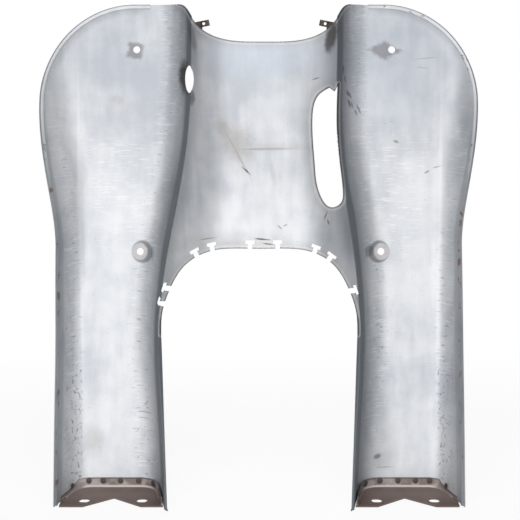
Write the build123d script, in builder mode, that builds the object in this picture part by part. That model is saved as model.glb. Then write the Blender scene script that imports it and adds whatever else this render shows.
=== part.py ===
"""Leg shield of a scooter, seen by the rider: one pressed steel panel with welded foot brackets and tabs.

X runs to the rider's right, Y forward and Z up. The feet stand on Z = 0. "Rise" is how far a surface
stands towards the rider from the floor of the leg troughs, and the whole panel leans forward.
"""

from build123d import *
from math import atan2, degrees, hypot, radians, tan
import os

# Driving sizes in millimetres
sheet = 1.2
lean_degrees = 14.0
leg_half_width = 237.0
ear_half_width = 259.0
leg_top = 286.0
ear_centre = 453.0
shoulder_radius = 109.5
saddle_top = 519.5
saddle_corner = 84.0
saddle_shift = 6.0
arch_top = 281.0
arch_foot = 195.0
inner_lip = 3.0
notch_places = [-109, -103, -73.5, -55.5, -11.5, 21.5, 64.5, 80.5, 104]
hem_width = 5.5
hem_thickness = 3.4
hem_end = 128.0
bolt_hole = 8.4
upper_hole = (153.0, 510.0)
lower_hole = (144.5, 275.0)
notch_head = 10.8
notch_neck = 5.5
notch_depth = 9.5
notch_head_depth = 4.2
bracket_plate = 2.0
bracket_lip = 10.0
bracket_clearance = 1.0
shelf_reach = 47.0
shelf_notch_reach = 27.0
shelf_notch_at = 170.0
slot_length = 13.0
slot_width = 9.5
slot_spacing = 67.0
slot_reach = 34.0
tab_plate = 2.0
tab_arm = (17.0, 7.0)
tab_tilt = 12.0
tab_strip = (9.0, 30.0)
tab_inset = 11.0
tab_rise = 20.0
tab_hole = 3.4
tab_hole_inset = 2.0
weld_gap = 0.3
oval_place = (-81.5, 477.5)
oval_size = (13.0, 31.0)
cut_left = [(75, 468), (63, 459), (56, 432), (59, 376), (64, 347)]
cut_right = [(77, 332), (88, 339), (90, 352), (86, 389), (84, 438), (85.5, 472)]
cut_tooth = (80.5, 464.0)
shoulder_flat = 18.0
dip_side = 4.0
dip_round = (26.0, 6.0)
arch_shares = [(1.0, 0.0), (0.99, 0.27), (0.92, 0.55), (0.78, 0.82), (0.49, 0.98)]
shelf_overlap = 0.6

# Shape of the section, at stations from the foot to above the ears
ear_top = ear_centre + shoulder_radius
section_margin = 27.5
section_top = ear_top + section_margin
stations = [
    0,
    90,
    arch_foot - 5,
    leg_top,
    0.5 * (leg_top + ear_centre),
    ear_centre - 13,
    ear_centre + 57,
    section_top,
]
ridge_half_width = [107.6, 111.4, 115.5, 107, 92.4, 85, 84.5, 84]
ridge_rise = [60, 59, 58, 55, 52.3, 50, 47.7, 45]
wall_run = [13, 15, 18, 19, 18, 20, 21, 21]
saddle_rise = [48, 40, 18, 13, 13, 18, 21, 22]
saddle_half_width = [84, 84, 84, 74, 64, 62, 63, 63]
rim_half_width = [
    leg_half_width,
    leg_half_width + 0.6,
    leg_half_width + 1.3,
    leg_half_width + 2,
    0.5 * (leg_half_width + ear_half_width),
    ear_half_width - 1,
    ear_half_width - 13,
    ear_half_width - 54,
]
rim_rise = [50, 47, 42, 38, 34.5, 21, 8, 5]
rim_run = [19.5, 17.5, 15.5, 19.5, 26, 26, 24, 22]
ridge_bend = 8.0
wall_bend = 22.0
rim_bend = 18.0
saddle_bend = 30.0
overrun = 8.0
through = 300.0

lean = tan(radians(lean_degrees))


def at(sizes, height):
    """Size at a height, straight between the two stations around it."""
    for index in range(1, len(stations)):
        if height <= stations[index] or index == len(stations) - 1:
            low, high = stations[index - 1], stations[index]
            share = (height - low) / (high - low)
            return sizes[index - 1] + (sizes[index] - sizes[index - 1]) * share


def shift_at(height):
    """How far the middle of the pressing stands to the right: nothing at the arch, all at the top."""
    share = min(max((height - arch_foot) / (saddle_top - arch_foot), 0.0), 1.0)
    return saddle_shift * share


def toward(start, end, distance):
    """Point at a distance from start on the way to end."""
    length = hypot(end[0] - start[0], end[1] - start[1])
    share = distance / length
    return (start[0] + (end[0] - start[0]) * share, start[1] + (end[1] - start[1]) * share)


def beside(start, end, distance):
    """Both ends of a straight stretch, moved sideways by a distance."""
    length = hypot(end[0] - start[0], end[1] - start[1])
    side = (distance * (end[1] - start[1]) / length, -distance * (end[0] - start[0]) / length)
    return [(x + side[0], y + side[1]) for x, y in (start, end)]


def crossing(first, second):
    """Point where two lines, each given by two points, cross."""
    (ax, ay), (bx, by) = first
    (cx, cy), (dx, dy) = second
    share = ((cx - ax) * (dy - cy) - (cy - ay) * (dx - cx)) / (
        (bx - ax) * (dy - cy) - (by - ay) * (dx - cx)
    )
    return (ax + (bx - ax) * share, ay + (by - ay) * share)


def corners(height):
    """Corners of the section at a height, left to right, and how far each is rounded before and after it."""
    shift = shift_at(height)
    ridge_at = at(ridge_half_width, height)
    ridge_up = at(ridge_rise, height)
    rim_at = at(rim_half_width, height)
    rim_up = at(rim_rise, height)
    rim_length = at(rim_run, height)
    saddle_at = at(saddle_half_width, height)
    saddle_up = at(saddle_rise, height)
    flank = hypot(ridge_at - saddle_at, ridge_up - saddle_up) - ridge_bend
    edge = (rim_at + overrun, rim_up * (1 + overrun / rim_length))
    half = [
        (edge, 0.0, 0.0),
        ((rim_at - rim_length, 0.0), rim_bend, rim_bend),
        ((ridge_at + at(wall_run, height), 0.0), wall_bend, wall_bend),
        ((ridge_at, ridge_up), ridge_bend, ridge_bend),
        ((saddle_at, saddle_up), flank, saddle_bend),
    ]
    chain = [((-x, rise), before, after) for (x, rise), before, after in half]
    chain += [(corner, after, before) for corner, before, after in reversed(half)]
    points = [(x + shift, height * lean - rise) for (x, rise), before, after in chain]
    return points, [(before, after) for corner, before, after in chain]


def draw_face(height, raised):
    """Draws one face of the section: straight runs and a parabola round each corner."""
    points, roundings = corners(height)
    runs = [beside(start, end, raised) for start, end in zip(points, points[1:])]
    start = runs[0][0]
    for index in range(1, len(points) - 1):
        before, after = roundings[index]
        corner = crossing(runs[index - 1], runs[index])
        into = toward(points[index], points[index - 1], before)
        out = toward(points[index], points[index + 1], after)
        into = beside(into, points[index], raised)[0]
        out = beside(points[index], out, raised)[1]
        if hypot(into[0] - start[0], into[1] - start[1]) > 0.001:
            Line(start, into)
        Bezier(into, corner, out)
        start = out
    Line(start, runs[-1][1])
    return runs[0][0], runs[-1][1]


def layer(front, back):
    """Sheet that follows the panel between two distances off the rider's face of it."""
    with BuildPart() as sheet_layer:
        for height in stations:
            with BuildSketch(Plane.XY.offset(height)):
                with BuildLine():
                    front_ends = draw_face(height, front)
                    back_ends = draw_face(height, back)
                    Line(front_ends[0], back_ends[0])
                    Line(front_ends[1], back_ends[1])
                make_face()
        loft()
    return sheet_layer.part


def outer_edge(inset, side, bottom):
    """Draws one outer edge, set in from the rim, from the foot to the top of the shoulder."""
    leg = leg_half_width - inset
    ear = ear_half_width - inset
    radius = shoulder_radius - inset
    foot = (side * leg, bottom)
    Line(foot, (side * leg, leg_top))
    Spline((side * leg, leg_top), (side * ear, ear_centre), tangents=[(0, 1), (0, 1)])
    start_angle = 0 if side > 0 else 180
    CenterArc((side * (ear - radius), ear_centre), radius, start_angle, side * 90)
    return foot, (side * (ear - radius), ear_centre + radius)


def draw_outline():
    """Front view of the pressing, before the arch is cut."""
    left_foot, left_shoulder = outer_edge(0, -1, -overrun)
    right_foot, right_shoulder = outer_edge(0, 1, -overrun)
    half = [
        (saddle_corner + shoulder_flat, ear_top),
        (saddle_corner - dip_side, 0.5 * (ear_top + saddle_top)),
        (saddle_corner - dip_round[0], saddle_top + dip_round[1]),
    ]
    left = [(saddle_shift - x, z) for x, z in half]
    right = [(saddle_shift + x, z) for x, z in reversed(half)]
    dip = Spline(*left, (saddle_shift, saddle_top), *right, tangents=[(1, 0), (1, 0)])
    Line(left_shoulder, dip @ 0)
    Line(right_shoulder, dip @ 1)
    Line(left_foot, right_foot)


def draw_hem(side):
    """Band along one outer edge where the sheet is folded back on itself."""
    foot, shoulder = outer_edge(hem_width, side, -overrun)
    outside = side * (ear_half_width + overrun)
    end = (side * hem_end, shoulder[1])
    above = ear_top + overrun
    Polyline(shoulder, end, (end[0], above), (outside, above), (outside, foot[1]), foot)


def draw_arch():
    """Draws the gap between the legs and gives its upper edge, from the left foot to the right."""
    height = arch_top - arch_foot
    half = [(across * arch_half_width, arch_foot + up * height) for across, up in arch_shares]
    left = [(-x, z) for x, z in half]
    edge = Spline(*left, (0, arch_top), *half[::-1], tangents=[(0, 1), (0, -1)])
    below = -overrun
    Polyline(edge @ 0, (-foot_half_width, below), (foot_half_width, below), edge @ 1)
    return edge


def place_on(curve, x):
    """Place and slope of a curve where it crosses a distance from the middle."""
    low, high = 0.0, 1.0
    for halving in range(40):
        share = 0.5 * (low + high)
        if (curve @ share).X < x:
            low = share
        else:
            high = share
    slope = curve % low
    return curve @ low, degrees(atan2(slope.Y, slope.X))


def draw_cut_opening():
    """Hand-cut opening beside the right ridge, with the sharp tooth left at its top."""
    rounded = Spline(*[(saddle_shift + x, z) for x, z in cut_left + cut_right])
    Polyline(rounded @ 1, (saddle_shift + cut_tooth[0], cut_tooth[1]), rounded @ 0)


arch_half_width = at(ridge_half_width, arch_foot) - inner_lip
foot_half_width = at(ridge_half_width, 0) - inner_lip
hem_raise = 0.5 * (hem_thickness - sheet)
bracket_outer = leg_half_width - hem_width - bracket_clearance
lip_top = bracket_plate + bracket_lip
holes = [
    (side * across + shift_at(height), height)
    for across, height in (upper_hole, lower_hole)
    for side in (-1, 1)
]

# The pressing: hems and sheet, trimmed to the front outline, then cut
with BuildPart() as panel:
    add(layer(hem_raise, -sheet - hem_raise))
    with BuildSketch(Plane.XZ):
        for side in (-1, 1):
            with BuildLine():
                draw_hem(side)
            make_face()
    extrude(amount=through, both=True, mode=Mode.INTERSECT)
    add(layer(0, -sheet))
    with BuildSketch(Plane.XZ):
        with BuildLine():
            draw_outline()
        make_face()
    extrude(amount=through, both=True, mode=Mode.INTERSECT)
    with BuildSketch(Plane.XZ):
        with BuildLine():
            arch = draw_arch()
        make_face()
        for x in notch_places:
            place, angle = place_on(arch, x)
            with Locations(Location((place.X, place.Y), angle)):
                Rectangle(notch_neck, 2 * notch_depth)
                with Locations((0, notch_depth - 0.5 * notch_head_depth)):
                    Rectangle(notch_head, notch_head_depth)
    extrude(amount=through, both=True, mode=Mode.SUBTRACT)
    with BuildSketch(Plane.XZ):
        with BuildLine():
            draw_cut_opening()
        make_face()
        with Locations(oval_place):
            Ellipse(0.5 * oval_size[0], 0.5 * oval_size[1])
        with Locations(*holes):
            Circle(0.5 * bolt_hole)
    extrude(amount=through, both=True, mode=Mode.SUBTRACT)
panel.part.label = "panel"

# The origin is under the middle of the pressing
home = Location((0, -panel.part.bounding_box().center().Y, 0))
os.makedirs("parts", exist_ok=True)
export_step(panel.part.moved(home), "parts/panel.step")

# Foot brackets: a lip against the trough's wall and a shelf with two slots and a notched edge
for name, side in (("foot_bracket_left", -1), ("foot_bracket_right", 1)):
    with BuildPart() as bracket:
        add(layer(weld_gap + bracket_plate, weld_gap))
        with BuildSketch(Plane.YZ.offset(side * foot_half_width)):
            Polygon(
                (-shelf_reach, 0),
                (through, 0),
                (through, lip_top),
                (lip_top * lean - shelf_reach, lip_top),
                align=None,
            )
        extrude(amount=side * (bracket_outer - foot_half_width), mode=Mode.INTERSECT)
        with BuildSketch():
            with BuildLine():
                start, end = draw_face(0, weld_gap + shelf_overlap * bracket_plate)
                Polyline(start, (start[0], -through), (end[0], -through), end)
            make_face()
            notch_side = 0.5 * slot_spacing
            Polygon(
                (side * bracket_outer, -shelf_reach),
                (side * (shelf_notch_at + notch_side), -shelf_reach),
                (side * shelf_notch_at, -shelf_notch_reach),
                (side * (shelf_notch_at - notch_side), -shelf_reach),
                (side * foot_half_width, -shelf_reach),
                (side * foot_half_width, 0.5 * through),
                (side * bracket_outer, 0.5 * through),
                align=None,
                mode=Mode.INTERSECT,
            )
            with Locations((side * shelf_notch_at, -slot_reach)):
                with GridLocations(slot_spacing, 0, 2, 1):
                    SlotOverall(slot_length, slot_width, mode=Mode.SUBTRACT)
        extrude(amount=bracket_plate)
    bracket.part.label = name
    export_step(bracket.part.moved(home), f"parts/{name}.step")

# Top tabs: a strip welded behind each corner of the saddle and a drilled arm that stands past its edge
for name, side in (("top_tab_left", -1), ("top_tab_right", 1)):
    with BuildPart() as tab:
        behind = -sheet - weld_gap
        add(layer(behind, behind - tab_plate))
        tab_at = saddle_shift + side * (saddle_corner - tab_inset)
        tab_end = tab_at + side * 0.5 * tab_arm[0]
        arm_up = saddle_top + tab_rise
        with BuildSketch(Plane.XZ):
            with Locations((tab_end - side * 0.5 * tab_strip[0], arm_up)):
                Rectangle(*tab_strip, align=(Align.CENTER, Align.MAX))
            with Locations(Location((tab_at, arm_up), -side * tab_tilt)):
                Rectangle(*tab_arm)
                with Locations((-side * tab_hole_inset, 0)):
                    Circle(0.5 * tab_hole, mode=Mode.SUBTRACT)
        extrude(amount=through, both=True, mode=Mode.INTERSECT)
    tab.part.label = name
    export_step(tab.part.moved(home), f"parts/{name}.step")
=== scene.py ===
"""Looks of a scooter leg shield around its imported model: bare pressed steel, hems, brackets and tabs.

X runs to the rider's right, Y forward and Z up, in metres. Shapes are worked out in millimetres on numpy
arrays. "Rise" is how far the sheet stands towards the rider from the floor of the leg troughs.
"""

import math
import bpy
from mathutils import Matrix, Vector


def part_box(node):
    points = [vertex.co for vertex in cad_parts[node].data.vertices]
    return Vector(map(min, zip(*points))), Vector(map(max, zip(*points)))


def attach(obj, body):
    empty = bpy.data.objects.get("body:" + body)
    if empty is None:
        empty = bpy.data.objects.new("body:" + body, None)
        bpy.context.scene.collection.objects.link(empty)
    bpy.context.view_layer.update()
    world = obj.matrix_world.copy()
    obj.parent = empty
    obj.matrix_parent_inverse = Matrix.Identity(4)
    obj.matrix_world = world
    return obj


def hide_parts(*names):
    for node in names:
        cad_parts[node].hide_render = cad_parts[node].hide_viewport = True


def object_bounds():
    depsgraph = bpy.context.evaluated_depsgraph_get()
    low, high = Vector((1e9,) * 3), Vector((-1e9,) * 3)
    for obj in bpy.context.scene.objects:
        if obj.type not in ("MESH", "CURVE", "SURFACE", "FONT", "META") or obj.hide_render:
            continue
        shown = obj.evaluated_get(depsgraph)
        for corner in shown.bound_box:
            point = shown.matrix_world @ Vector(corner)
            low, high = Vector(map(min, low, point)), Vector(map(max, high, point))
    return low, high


bl_info = {
    "name": "Scooter leg shield",
    "version": (1, 0, 0),
    "blender": (4, 5, 0),
    "location": "View3D > Sidebar > Leg shield",
    "description": "Builds the steel leg shield, its hems, brackets and tabs, and a plain stage",
    "category": "Add Mesh",
}

from functools import partialmethod, reduce

import bpy
import numpy as np
from mathutils import Vector
from mathutils.geometry import delaunay_2d_cdt

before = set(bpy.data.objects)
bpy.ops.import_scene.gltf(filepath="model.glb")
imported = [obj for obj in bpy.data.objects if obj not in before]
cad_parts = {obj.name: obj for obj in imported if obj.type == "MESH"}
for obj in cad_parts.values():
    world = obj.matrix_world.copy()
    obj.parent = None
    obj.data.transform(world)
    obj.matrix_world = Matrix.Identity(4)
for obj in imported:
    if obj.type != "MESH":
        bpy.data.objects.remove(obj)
CAD_BOX = [list(corner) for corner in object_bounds()]

MM = 0.001
LEAN = math.tan(math.radians(14.0))
SHELF_REACH = 47.0
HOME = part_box("foot_bracket_left")[0][1] / MM + SHELF_REACH

# Sizes of the pressing in millimetres, as in the part's source
SHEET = 1.2
LEG_HALF_WIDTH = 237.0
EAR_HALF_WIDTH = 259.0
LEG_TOP = 286.0
EAR_CENTRE = 453.0
SHOULDER_RADIUS = 109.5
EAR_TOP = EAR_CENTRE + SHOULDER_RADIUS
SADDLE_TOP = 519.5
SADDLE_CORNER = 84.0
SADDLE_SHIFT = 6.0
ARCH_TOP = 281.0
ARCH_FOOT = 195.0
ARCH_HALF_WIDTH = 112.3
FOOT_HALF_WIDTH = 104.6
HEM_WIDTH = 5.5
HEM_THICKNESS = 3.4
HEM_END = 128.0
HOLE_RADIUS = 4.2
UPPER_HOLE = (153.0, 510.0)
LOWER_HOLE = (144.5, 275.0)
SEAT_INNER = 9.8
SEAT_OUTER = 11.2
NOTCH_PLACES = (-109, -103, -73.5, -55.5, -11.5, 21.5, 64.5, 80.5, 104)
OVAL_PLACE = (-81.5, 477.5)
OVAL_SIZE = (13.0, 31.0)
BRACKET_PLATE = 2.0
BRACKET_OUTER = 230.5
FOLD_RADIUS = 2.4
WELD_GAP = 0.3
WELD_HEIGHT = 9.0
WELD_RADIUS = 3.0
WELD_DOME = 0.5
WELD_PLACES = (126.0, 144.5, 166.0, 187.0, 204.0, 223.0)

# Sizes of the section at stations from the foot to above the ears
STATIONS = np.array([0.0, 90, 190, 286, 369.5, 440, 510, 590])
RIDGE_HALF_WIDTH = np.array([107.6, 111.4, 115.5, 107, 92.4, 85, 84.5, 84])
CREST_DROP = 2.3
RIDGE_RISE = np.array([60, 59, 58, 55, 52.3, 50, 47.7, 45]) - CREST_DROP
WALL_RUN = np.array([13.0, 15, 18, 19, 18, 20, 21, 21])
SADDLE_RISE = np.array([48.0, 40, 18, 13, 13, 18, 21, 22])
SADDLE_HALF_WIDTH = np.array([84.0, 84, 84, 74, 64, 62, 63, 63])
RIM_HALF_WIDTH = np.array([
    LEG_HALF_WIDTH, LEG_HALF_WIDTH + 0.6, LEG_HALF_WIDTH + 1.3, LEG_HALF_WIDTH + 2,
    0.5 * (LEG_HALF_WIDTH + EAR_HALF_WIDTH), EAR_HALF_WIDTH - 1, EAR_HALF_WIDTH - 13, EAR_HALF_WIDTH - 54,
])
RIM_RISE = np.array([50.0, 47, 42, 38, 34.5, 21, 8, 5])
RIM_RUN = np.array([19.5, 17.5, 15.5, 19.5, 26, 26, 24, 22])
RIDGE_BEND = 2.5
WALL_BEND = 22.0
RIM_BEND = 18.0
SADDLE_BEND = 30.0
OVERRUN = 8.0

# Fineness of the sheet's mesh: points along each bend and run, then millimetres in the front view
BEND_STEPS = (14, 16, 7, 22, 22, 7, 16, 14)
RUN_STEPS = (6, 11, 10, 0, 14, 0, 10, 11, 6)
LOWEST_ROW = 1.5
ROW_STEP = 3.6
EDGE_STEP = 1.5
EDGE_CLEARANCE = 0.9

# The photograph's view: metres, degrees, and millimetres for the lens
VIEW_TARGET = np.array([0.0008, 0.0661 + HOME * MM, 0.265])
VIEW_DISTANCE = 1.1
VIEW_DOWN = 14.0
SENSOR_WIDTH = 36.0
LENS = 63.46

# Marks on the sheet: place across and up and half sizes in millimetres, turn in degrees, strength
SCORCHES_AND_SEAT_SHADOWS = (
    (-77.5, 525, 3.6, 15, 13, 0.45), (83.5, 525, 6.0, 17, -14, 0.85),
    (-87, 479, 8.0, 18.5, 5, 0.95), (-77.5, 457, 2.8, 8, 0, 0.6),
    # The next two blots are painted shadows beside the lower seats.
    (131, 277, 5, 7, 0, 0.5), (-127.5, 274, 2.0, 9, 0, 0.3),
    (141.8, 36.5, 4.2, 2.4, 20, 0.55), (164, 403, 3.2, 1.6, -20, 0.45),
)
STROKES = (
    (3, 292, 8, 0.9, -4, 0.8), (10, 286.5, 6, 0.8, -8, 0.7), (-62, 293.5, 9, 0.7, 4, 0.5),
    (98.3, 488, 1.0, 5, 4, 0.6), (101, 477, 1.0, 3.5, 10, 0.5), (105, 460, 1.4, 4, 20, 0.7),
    (108, 457, 1.2, 4.5, 25, 0.6), (107, 448, 1.3, 5, 20, 0.7), (110.5, 446, 1.0, 4, 20, 0.5),
    (115.5, 437, 1.0, 3.5, 20, 0.6), (119, 441, 1.1, 5.5, 25, 0.6),
    (65.7, 477.3, 4.5, 0.7, 20, 0.7), (201, 367.5, 3.5, 0.9, 30, 0.5), (213, 373.5, 5, 0.6, 15, 0.4),
    (78, 322, 0.8, 5, -20, 0.6), (80.5, 315, 0.9, 3, 15, 0.7), (24, 306, 3.5, 0.8, -40, 0.5),
    (31, 308, 2.5, 0.8, 30, 0.5), (200, 500, 13, 0.5, 5, 0.3), (195, 489, 7, 0.5, -8, 0.3),
    (-15.7, 371, 0.8, 6.5, 48, 0.75), (-137, 89, 9, 0.6, 0, 0.5), (-137, 82, 6, 0.5, 0, 0.4),
    (150, 24, 9, 0.6, 2, 0.35),
)
GRINDINGS = ((-149, 508.5, 12.5, 12.5, 31, 0.6), (150.5, 508.7, 19.5, 10.8, -2, 0.6))
STAINS = (
    (-26, 402, 17, 21, 25, 0.4), (-30, 398, 1.6, 31, 29, 0.6), (2, 396, 40, 1.5, 1, 0.55),
    (-40, 417, 8, 14, 30, 0.4), (10, 398, 52, 4.5, 1, 0.15), (-200, 56, 10, 16, 0, 0.25),
    (149, 34, 15, 10, 15, 0.2), (-170, 452, 7, 5, -20, 0.18), (-45, 292, 60, 9, 0, 0.15),
    (16, 368, 3, 14, 10, 0.2),
)
# Painted highlights and reflections: the bright lines at the floors' outer bends and bright patches on the
# saddle.
PAINTED_HIGHLIGHTS = (
    (-214.5, 285, 2.4, 165, 0.9, 0.65), (215.5, 260, 2.4, 190, -0.9, 0.75), (190, 190, 5, 120, 0, 0.3),
    (-33, 322, 9, 18, -10, 0.5), (-20, 300, 16, 12, 0, 0.4), (26, 330, 6, 26, 14, 0.5),
    (36, 300, 9, 20, 24, 0.5), (-20, 420, 4, 26, 0, 0.4), (-217.5, 150, 3.5, 145, 0, 0.6),
)
# Broad painted highlights that brighten the floors and the middle of the saddle.
BROAD_PAINTED_HIGHLIGHTS = (
    (-170, 325, 32, 75, 0, 0.36), (182, 320, 28, 65, 0, 0.36), (18, 425, 18, 60, 0, 0.21),
    (-178, 200, 14, 120, 0, 0.18),
)
# Painted shading on the walls, the saddle's flanks and the ears' outer edges, and broad darker places on the
# ears and the saddle.
SHADES = (
    (91, 300, 19, 38, -8, 0.42), (50, 438, 17, 80, 4, 0.16), (-109, 345, 11, 62, -6.5, 0.24),
    (124, 335, 11, 60, 6.5, 0.2), (178, 500, 66, 56, 0, 0.09), (-168, 500, 66, 50, 0, 0.04),
    (139, 55, 17, 75, 0, 0.3), (-14, 408, 48, 48, 0, 0.08), (247, 445, 11, 62, 0, 0.42),
    (239, 380, 14, 50, 6, 0.28), (-249, 445, 8, 60, 0, 0.14),
)
BLUE_PLACES = ((6, 505, 62, 26, 0, 0.5), (165, 490, 60, 60, 0, 0.35), (-165, 500, 50, 50, 0, 0.15))


def smooth(t):
    """Smooth step from 0 to 1 for a share t: t^2 (3 - 2 t)."""
    return t * t * (3 - 2 * t)


def unit(vectors):
    """Vectors of length one in the same directions."""
    return vectors / np.linalg.norm(vectors, axis=-1, keepdims=True)


def shift_at(height):
    """How far the middle of the pressing stands to the right at a height."""
    return SADDLE_SHIFT * np.clip((height - ARCH_FOOT) / (SADDLE_TOP - ARCH_FOOT), 0, 1)


def cubic_through(knots, values, places, first=None, last=None):
    """Cubic spline through values at knots; its end slopes are first and last, or free where None."""
    gaps = np.diff(knots)
    slopes = np.diff(values, axis=0) / gaps[:, None]
    count = len(knots)
    matrix = np.zeros((count, count))
    right = np.zeros_like(values)
    inner = np.arange(1, count - 1)
    matrix[inner, inner - 1] = gaps[:-1]
    matrix[inner, inner] = 2 * (gaps[:-1] + gaps[1:])
    matrix[inner, inner + 1] = gaps[1:]
    right[inner] = 6 * np.diff(slopes, axis=0)
    matrix[0, 0] = matrix[-1, -1] = 1
    if first is not None:
        matrix[0, :2] = 2 * gaps[0], gaps[0]
        right[0] = 6 * (slopes[0] - first)
    if last is not None:
        matrix[-1, -2:] = gaps[-1], 2 * gaps[-1]
        right[-1] = 6 * (last - slopes[-1])
    bends = np.linalg.solve(matrix, right)
    span = np.clip(np.searchsorted(knots, places) - 1, 0, count - 2)
    gap = gaps[span][:, None]
    near = (places - knots[span])[:, None]
    far = gap - near
    cubic = (bends[span] * far**3 + bends[span + 1] * near**3) / (6 * gap)
    low = (values[span] / gap - bends[span] * gap / 6) * far
    high = (values[span + 1] / gap - bends[span + 1] * gap / 6) * near
    return cubic + low + high


def curve_through(points, first, last, step):
    """Smooth curve through points in the front view, sampled about every step, with given end directions."""
    points = np.array(points, float)
    along = np.concatenate([[0], np.cumsum(np.hypot(*np.diff(points, axis=0).T))])
    places = np.linspace(0, along[-1], max(int(along[-1] / step), 4))
    ends = [None if end is None else np.array(end, float) for end in (first, last)]
    return cubic_through(along, points, places, *ends)


def chain_stations():
    """Control points of the section at every station: edge, then entry, corner and exit of each bend."""
    level = np.zeros_like(STATIONS)
    flank = np.hypot(RIDGE_HALF_WIDTH - SADDLE_HALF_WIDTH, RIDGE_RISE - SADDLE_RISE) - RIDGE_BEND
    half = [
        (RIM_HALF_WIDTH + OVERRUN, RIM_RISE * (1 + OVERRUN / RIM_RUN)),
        (RIM_HALF_WIDTH - RIM_RUN, level),
        (RIDGE_HALF_WIDTH + WALL_RUN, level),
        (RIDGE_HALF_WIDTH, RIDGE_RISE),
        (SADDLE_HALF_WIDTH, SADDLE_RISE),
    ]
    outer_bends = [np.full_like(STATIONS, bend) for bend in (RIM_BEND, WALL_BEND, RIDGE_BEND)]
    before = outer_bends + [flank]
    after = outer_bends + [np.full_like(STATIONS, SADDLE_BEND)]
    chain = [(-x, rise) for x, rise in half] + half[::-1]
    corners = np.stack([np.stack(point, -1) for point in chain], 1)
    corners[:, :, 0] += shift_at(STATIONS)[:, None]
    here, last, following = corners[:, 1:-1], corners[:, :-2], corners[:, 2:]
    into = np.stack(before + after[::-1], 1)[:, :, None]
    out = np.stack(after + before[::-1], 1)[:, :, None]
    entry = here + (last - here) * into / np.linalg.norm(last - here, axis=2, keepdims=True)
    leave = here + (following - here) * out / np.linalg.norm(following - here, axis=2, keepdims=True)
    return corners[:, :1], np.stack([entry, here, leave], 2), corners[:, -1:]


def section(z):
    """Places across and rises of the sheet on a grid of heights by steps along the section.

    Between stations each control point follows a cubic spline in height. At one height the section is
    straight runs joined by parabolas, (1 - t)^2 entry + 2 t (1 - t) corner + t^2 exit.
    """
    left, bends, right = chain_stations()
    packed = np.concatenate([left, bends.reshape(len(STATIONS), -1, 2), right], 1)
    rows = cubic_through(STATIONS, packed.reshape(len(STATIONS), -1), z).reshape(len(z), -1, 2)
    left, right = rows[:, 0], rows[:, -1]
    bends = rows[:, 1:-1].reshape(len(z), len(BEND_STEPS), 3, 2)
    parts = []
    last = left
    for bend, (steps, run) in enumerate(zip(BEND_STEPS, RUN_STEPS)):
        entry, corner, leave = bends[:, bend, 0], bends[:, bend, 1], bends[:, bend, 2]
        if run:
            t = np.linspace(0, 1, run, endpoint=False)[None, :, None]
            parts.append(last[:, None] * (1 - t) + entry[:, None] * t)
        t = np.linspace(0, 1, steps, endpoint=False)[None, :, None]
        parabola = entry[:, None] * (1 - t) ** 2 + 2 * corner[:, None] * t * (1 - t) + leave[:, None] * t**2
        parts.append(parabola)
        last = leave
    t = np.linspace(0, 1, RUN_STEPS[-1] + 1)[None, :, None]
    parts.append(last[:, None] * (1 - t) + right[:, None] * t)
    grid = np.concatenate(parts, 1)
    return grid[:, :, 0], grid[:, :, 1]


def hole_pair(hole):
    """Middles of a bolt hole and its mirror image in the front view, left first."""
    x, z = hole
    return [(side * x + float(shift_at(z)), z) for side in (-1, 1)]


def rise_at(x, z):
    """Rise of the sheet at points of the front view, with the flat bolt seats pressed into it."""
    across, rises = section(z)
    after = np.clip((across < x[:, None]).sum(1), 1, across.shape[1] - 1)
    row = np.arange(len(x))
    low, high = across[row, after - 1], across[row, after]
    share = np.clip((x - low) / (high - low), 0, 1)
    rise = rises[row, after - 1] * (1 - share) + rises[row, after] * share
    for seat_x, seat_z in hole_pair(LOWER_HOLE):
        away = np.hypot(x - seat_x, z - seat_z)
        pressed = np.clip((SEAT_OUTER - away) / (SEAT_OUTER - SEAT_INNER), 0, 1)
        rise = rise * (1 - smooth(pressed))
    return rise


def place_on_sheet(flat, off=0.0):
    """Points in metres, and normals, for points of the front view, off millimetres above the rider's face."""
    x, z = flat[:, 0], flat[:, 1]
    small = 0.2
    rise = rise_at(x, z)
    across = (rise_at(x + small, z) - rise_at(x - small, z)) / (2 * small)
    upward = (rise_at(x, z + small) - rise_at(x, z - small)) / (2 * small)
    normal = unit(np.stack([-across, -np.ones_like(x), LEAN - upward], 1))
    points = np.stack([x, z * LEAN - rise + HOME, z], 1) + normal * off
    return points * MM, normal


def outer_edge(inset, step=3.0):
    """Right outer edge in the front view, set in from the rim, from the foot to the top of the shoulder."""
    leg, ear, radius = LEG_HALF_WIDTH - inset, EAR_HALF_WIDTH - inset, SHOULDER_RADIUS - inset
    z = np.arange(0, LEG_TOP, step)
    straight = np.stack([np.full_like(z, leg), z], 1)
    t = np.arange(0, 1, step / (EAR_CENTRE - LEG_TOP))
    sweep = np.stack([leg + (ear - leg) * smooth(t), LEG_TOP + (EAR_CENTRE - LEG_TOP) * t], 1)
    angle = np.linspace(0, 0.5 * math.pi, int(radius * 0.5 * math.pi / step) + 1)
    round_top = np.stack([ear - radius + radius * np.cos(angle), EAR_CENTRE + radius * np.sin(angle)], 1)
    return np.concatenate([straight, sweep, round_top])


def dip_edge(step=2.5):
    """Top edge of the saddle, from the left shoulder's flat to the right one's."""
    shoulder, fall, foot, foot_rise = 18, 4, 26, 6
    half = [
        (SADDLE_CORNER + shoulder, EAR_TOP),
        (SADDLE_CORNER - fall, 0.5 * (EAR_TOP + SADDLE_TOP)),
        (SADDLE_CORNER - foot, SADDLE_TOP + foot_rise),
    ]
    left = [(SADDLE_SHIFT - x, z) for x, z in half]
    right = [(SADDLE_SHIFT + x, z) for x, z in half[::-1]]
    return curve_through(left + [(SADDLE_SHIFT, SADDLE_TOP)] + right, (1, 0), (1, 0), step)


def mirrored(points):
    """Points of the front view on the other side, in the reverse order."""
    return points[::-1] * (-1, 1)


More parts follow.
